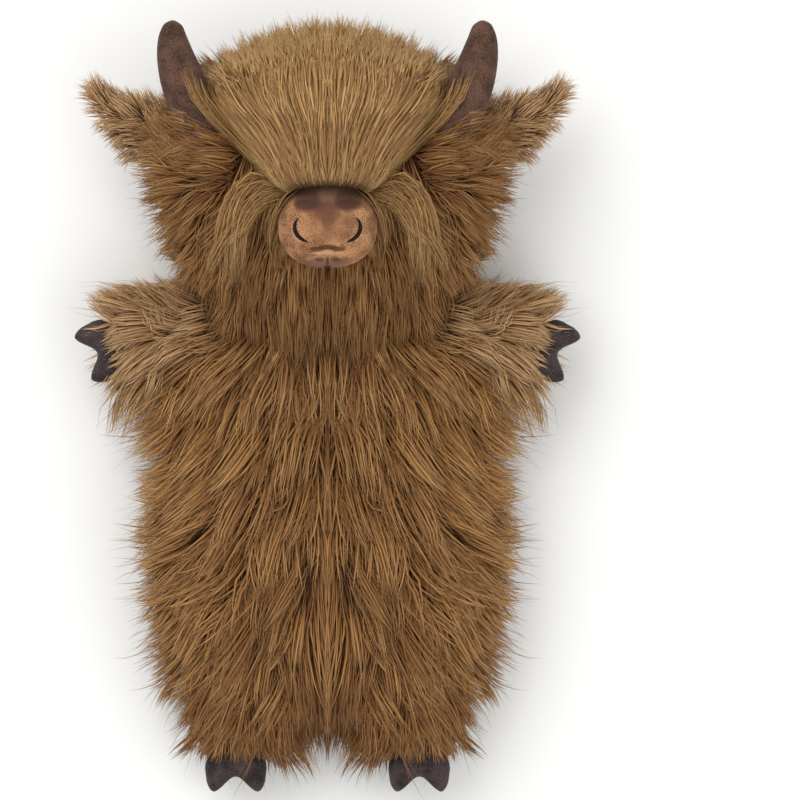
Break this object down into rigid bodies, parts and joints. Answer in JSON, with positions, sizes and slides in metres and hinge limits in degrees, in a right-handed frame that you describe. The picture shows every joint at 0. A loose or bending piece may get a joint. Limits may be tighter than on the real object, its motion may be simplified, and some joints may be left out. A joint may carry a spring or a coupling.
{
  "type": "hot water bottle cover",
  "caption": "Plush long-pile highland cow cover with a hollow pouch, open at the back, that holds a hot water bottle.",
  "frame": {"origin": "middle of the rest face, under the middle of the whole cover's box", "axes": "+X to the viewer's right across the body, +Y from the legs to the crown, +Z out of the face, away from the surface that the back lies on"},
  "size_m": [0.2476, 0.3746, 0.117],
  "materials": {
    "fur": "long-pile plush, brown at the roots and golden at the tips",
    "golden_fur": "long golden pile, combed",
    "muzzle_velour": "short tan velour, shaded darker on the bridge",
    "horn_velour": "short dark brown velour",
    "hoof_velour": "short near-black velour"
  },
  "bodies": {
    "root": {"pouch": "fur", "pile_rim_right": "fur", "pile_rim_left": "fur", "tuft": "fur", "head": "fur", "forelock": "golden_fur", "cheek_lock_right": "golden_fur", "cheek_lock_left": "golden_fur", "muzzle": "muzzle_velour", "ear_right": "fur", "ear_left": "fur", "horn_right": "horn_velour", "horn_left": "horn_velour", "arm_right": "fur", "arm_left": "fur", "leg_right": "fur", "leg_left": "fur", "front_hoof_right": "hoof_velour", "front_hoof_left": "hoof_velour", "back_hoof_right": "hoof_velour", "back_hoof_left": "hoof_velour"}
  },
  "joints": []
}
